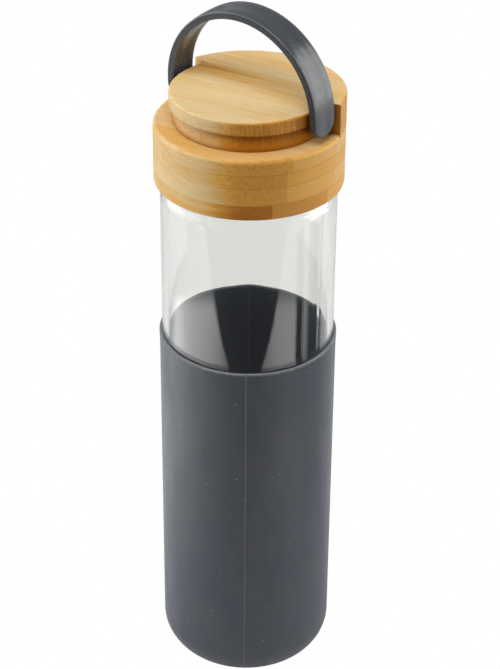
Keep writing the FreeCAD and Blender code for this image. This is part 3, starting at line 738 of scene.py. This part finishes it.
def clean_skin(mesh):
    """Weld the points on the axis, face every side outwards and shade smoothly."""
    skin = bmesh.new()
    skin.from_mesh(mesh)
    bmesh.ops.remove_doubles(skin, verts=skin.verts, dist=0.002 * MM)
    bmesh.ops.dissolve_degenerate(skin, edges=skin.edges, dist=0.0005 * MM)
    bmesh.ops.recalc_face_normals(skin, faces=skin.faces)
    skin.to_mesh(mesh)
    skin.free()
    mesh.shade_smooth()


# ---------------------------------------------------------------- carried-over pieces
def pivot_height():
    """Height of the strap's pivot axis in metres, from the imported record."""
    fold = next(j for j in frame["joints"] if j["name"] == "strap_fold")
    return fold["pos_m"][2]


def repaint(node, material):
    for slot in frame["nodes"][node].material_slots:
        slot.material = material


def paint_frame():
    repaint("bamboo_lid", bamboo_material())
    repaint("glass_bottle", glass_material())
    repaint("carry_strap", strap_material())
    repaint("thread_liner", translucent_material("liner_polypropylene", (0.78, 0.78, 0.75), 0.4))
    repaint("seal_gasket", translucent_material("gasket_silicone", (0.72, 0.72, 0.69), 0.5))
    bush = moulded_material("bush_acetal", (0.03, 0.03, 0.03), 0.35)
    steel = steel_material()
    for side in ("right", "left"):
        repaint(f"pivot_bush_{side}", bush)
        repaint(f"pivot_pin_{side}", steel)


# ---------------------------------------------------------------- studio
# metres in the studio's axes, from the foot of the bottle's axis
TABLE_FRONT = 0.2545    # how far the white table reaches towards the camera
TABLE_SLANT = 0.055     # rise of its front edge per metre across
TABLE_BACK = 2.6
TABLE_SIDE = 1.6
TABLE_PAINT = 0.86
# a darker grey that the table has in reflections only: painted shade in what the glass and sleeve
# reflect
TABLE_SHADE_IN_REFLECTIONS = 0.72
SEEN_THROUGH = (0.820, 0.822, 0.795, 1)  # the white surroundings seen through glass
# the glow that the table has in reflections, where it comes in and how strong it is
LEFT_GLOW, LEFT_GLOW_ACROSS = 2.15, (-0.26, -0.07)
RIGHT_GLOW, RIGHT_GLOW_ACROSS, RIGHT_GLOW_TOWARDS = 1.4, (0.04, 0.20), (0.02, 0.12)
BACK_GLOW, BACK_GLOW_TOWARDS = 0.30, (-0.12, 0.0)
NEAR_BOTTLE = (0.17, 0.27)
BESIDE_BOTTLE = (-0.16, -0.06)
GLOW_REACH_BACK = 0.272
GLOW_REACH_MORE = 0.070  # further towards the camera
GLOW_BLUR = 0.012
GLASS_FACES = 3.0        # rays that crossed this many or more see only the glow behind
FLAG_HEIGHT = 0.115
FLAG_REACH = 0.2
FLAG_TURNS = {"flag_near": (62.7, 73.5), "flag_far": (81.5, 108)}  # as for round_from_camera
ROOM_BACK = 0.50         # the room's brightness behind the bottle
ROOM_FRONT = 0.15        # and behind the camera
LIGHT_AIM = 0.16         # height
LIGHTS = {  # place, width and height, and power in watts
    "left_softbox": ((-0.85, -0.10, 0.42), (0.9, 0.9), 5.5),
    "right_softbox": ((0.95, -0.15, 0.45), (0.6, 0.9), 7.0),
    "front_overhead": ((-0.12, 0.42, 1.10), (0.6, 0.6), 6.2)}


def make_table():
    """White table top; its front edge lies out of the camera's view."""
    slant = TABLE_SLANT * TABLE_SIDE
    shape = [(-TABLE_SIDE, TABLE_FRONT - slant), (TABLE_SIDE, TABLE_FRONT + slant),
             (TABLE_SIDE, -TABLE_BACK), (-TABLE_SIDE, -TABLE_BACK)]
    corners = [studio(x, y, 0) for x, y in shape]
    new_object("floor", corners, [(0, 1, 2, 3)], table_material())


def table_glow(g, path):
    """Pools of light left, right and just behind the bottle, as its glass and sleeve show them."""
    place = g.node("ShaderNodeNewGeometry").outputs["Position"]
    across, towards, reach = g.dot(place, ACROSS), g.dot(place, TOWARDS), g.length(place)
    near = g.smooth(reach, *NEAR_BOTTLE, 1.0, 0.0)
    left = g.times(g.smooth(across, *LEFT_GLOW_ACROSS, LEFT_GLOW, 0.0),
                   g.most(near, g.smooth(towards, *BESIDE_BOTTLE)))
    right = g.times(g.smooth(across, *RIGHT_GLOW_ACROSS, 0.0, RIGHT_GLOW),
                    g.smooth(towards, *RIGHT_GLOW_TOWARDS))
    back = g.times(near, g.smooth(towards, *BACK_GLOW_TOWARDS, BACK_GLOW, 0.0))
    to_front = g.plus(0.5, g.math("DIVIDE", towards, g.times(reach, 2.0)))
    to_front = g.math("SQRT", g.most(0.0, to_front))
    glow_ends = g.plus(GLOW_REACH_BACK, g.times(to_front, GLOW_REACH_MORE))
    close = g.smooth(g.minus(reach, glow_ends), -GLOW_BLUR, GLOW_BLUR, 1.0, 0.0)
    few_faces = g.math("LESS_THAN", path.outputs["Transmission Depth"], GLASS_FACES)
    return g.plus(g.times(g.plus(left, right), g.times(close, few_faces)), back)


def table_material():
    """White to the camera, light grey through clear glass, and glowing in reflections."""
    material, g = new_material("white_table")
    path = g.node("ShaderNodeLightPath")
    mirrored = g.math("GREATER_THAN", path.outputs["Glossy Depth"], 0.5)
    paint = g.mix(mirrored, grey(TABLE_PAINT), grey(TABLE_SHADE_IN_REFLECTIONS))
    painted = g.node("ShaderNodeBsdfDiffuse", {"Color": paint})
    glow = g.node("ShaderNodeEmission", {"Strength": g.times(table_glow(g, path), mirrored)})
    shaded = g.node("ShaderNodeAddShader", {0: painted.outputs[0], 1: glow.outputs[0]})
    backdrop = g.node("ShaderNodeEmission", {
        "Color": g.mix(path.outputs["Is Camera Ray"], SEEN_THROUGH, grey(1.0))})
    surface = g.node("ShaderNodeMixShader", {
        0: goes_straight(g, path), 1: shaded.outputs[0], 2: backdrop.outputs[0]})
    close_material(g, surface.outputs[0])
    return material


def board_material():
    """Black in reflections, and clear to the camera and through clear glass."""
    material, g = new_material("black_board")
    rough = g.noise(object_millimetres(g), 0.8)
    board = g.node("ShaderNodeBsdfPrincipled", {
        "Base Color": g.mix(rough, grey(0.008), grey(0.014)),
        "Roughness": 0.9, "Specular IOR Level": 0.1})
    surface = g.node("ShaderNodeMixShader", {
        0: goes_straight(g, g.node("ShaderNodeLightPath")), 1: board.outputs[0],
        2: g.node("ShaderNodeBsdfTransparent").outputs[0]})
    close_material(g, surface.outputs[0])
    return material


def make_flags():
    """Two black boards, seen only as reflections, that edge the glass."""
    material = board_material()
    for name, turns in FLAG_TURNS.items():
        first, last = (round_from_camera(turn) * FLAG_REACH for turn in turns)
        rise = UP * FLAG_HEIGHT
        flag = new_object(name, [first, last, last + rise, first + rise],
                          [(0, 1, 2, 3)], material)
        flag.visible_camera = False


def make_world():
    """White to the camera, light grey through clear glass; a soft room to everything else."""
    world = bpy.data.worlds.new("studio")
    bpy.context.scene.world = world
    world.use_nodes = True
    g = Graph(world.node_tree)
    ray = g.node("ShaderNodeTexCoord").outputs["Generated"]
    room = g.smooth(g.dot(ray, TOWARDS), -0.2, 0.5, ROOM_BACK, ROOM_FRONT)
    room = g.times(room, g.smooth(g.dot(ray, UP), -0.08, 0.05, 0.1, 1.0))
    room_colour = g.node("ShaderNodeCombineXYZ", {"X": room, "Y": room, "Z": room}).outputs[0]
    path = g.node("ShaderNodeLightPath")
    backdrop = g.mix(path.outputs["Is Camera Ray"], SEEN_THROUGH, grey(1.0))
    shine = g.node("ShaderNodeBackground", {
        "Color": g.mix(goes_straight(g, path), room_colour, backdrop)})
    g.node("ShaderNodeOutputWorld", {"Surface": shine.outputs[0]})


def soft_light(name, place, aim, size, power):
    light = bpy.data.lights.new(name, "AREA")
    light.shape = "RECTANGLE"
    light.size, light.size_y = size
    light.energy = power
    lamp = bpy.data.objects.new(name, light)
    bpy.context.scene.collection.objects.link(lamp)
    lamp.location = place
    lamp.rotation_mode = "QUATERNION"
    lamp.rotation_quaternion = (aim - place).to_track_quat("-Z", "Y")


def make_lights():
    for name, (place, size, power) in LIGHTS.items():
        soft_light(name, studio(*place), UP * LIGHT_AIM, size, power)


def make_camera():
    """The camera at the photo's viewing angle, turned by its pitch, yaw and roll."""
    data = bpy.data.cameras.new("camera")
    data.sensor_width = CAMERA_SENSOR
    data.lens = CAMERA_LENS
    data.clip_start = 0.05
    data.clip_end = 50
    camera = bpy.data.objects.new("camera", data)
    bpy.context.scene.collection.objects.link(camera)
    pitch, yaw, roll = map(math.radians, (CAMERA_PITCH, CAMERA_YAW, CAMERA_ROLL))
    level = -TOWARDS * math.cos(yaw) + ACROSS * math.sin(yaw)
    ahead = level * math.cos(pitch) - UP * math.sin(pitch)
    right = ahead.cross(UP).normalized()
    top = right.cross(ahead)
    side = right * math.cos(roll) + top * math.sin(roll)
    over = top * math.cos(roll) - right * math.sin(roll)
    camera.matrix_world = Matrix((side, over, -ahead)).transposed().to_4x4()
    camera.location = studio(0, CAMERA_REACH, CAMERA_HEIGHT)
    bpy.context.scene.camera = camera


def rounded(corners):
    return [[round(c, 6) for c in corner] for corner in corners]


bpy.context.scene.view_settings.view_transform = "Standard"
paint_frame()
make_sleeve()
make_table()
make_flags()
make_world()
make_lights()
make_camera()
